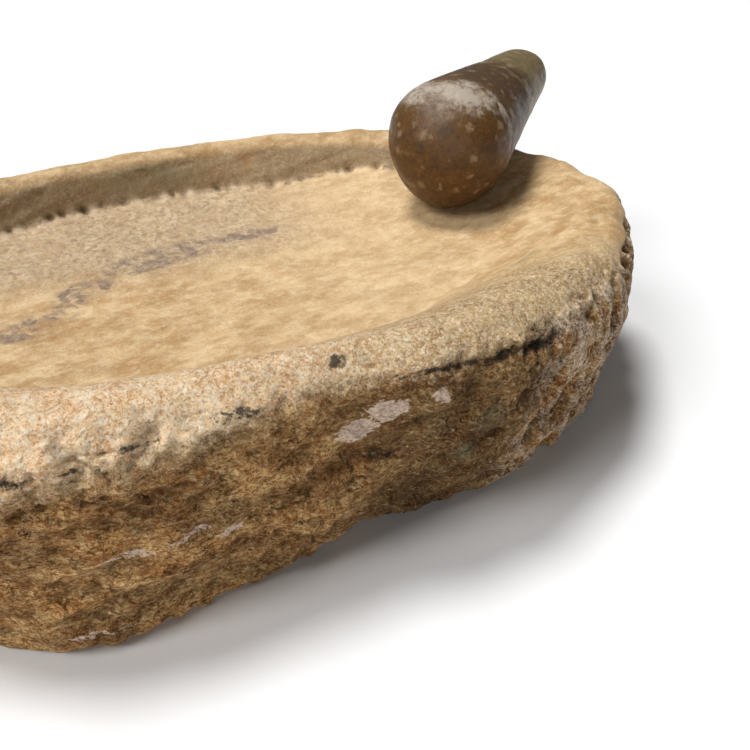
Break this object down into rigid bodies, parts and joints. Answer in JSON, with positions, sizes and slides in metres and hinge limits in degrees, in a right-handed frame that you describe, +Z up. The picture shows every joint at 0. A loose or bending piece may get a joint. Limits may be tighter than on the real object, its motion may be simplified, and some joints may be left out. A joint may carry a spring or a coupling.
{
  "type": "stone mortar and pestle",
  "caption": "Shallow oval grinding basin hewn from one boulder, with a steep-walled bowl and one low lip, and a loose tapered cobble pestle laid across the lip.",
  "frame": {"origin": "on the ground under the middle of the basin's dressed flat underside", "axes": "+X along the basin towards its low lip, +Y towards the steep wall of the bowl, +Z up"},
  "size_m": [0.4433, 0.2715, 0.1602],
  "materials": {
    "basin_stone": "hand hewn and rough outside, worn smooth in the bowl and on the rim, tan with darker weathering",
    "pestle_stone": "water-worn cobble, smooth with a low sheen, brown grey with pale specks"
  },
  "bodies": {
    "basin": {"basin": "basin_stone"},
    "pestle": {"pestle": "pestle_stone"}
  },
  "joints": [
    {"name": "pestle_lift", "type": "slide", "parent": "basin", "child": "pestle", "axis": [0, 0, 1], "range_m": [0, 0.2]}
  ]
}
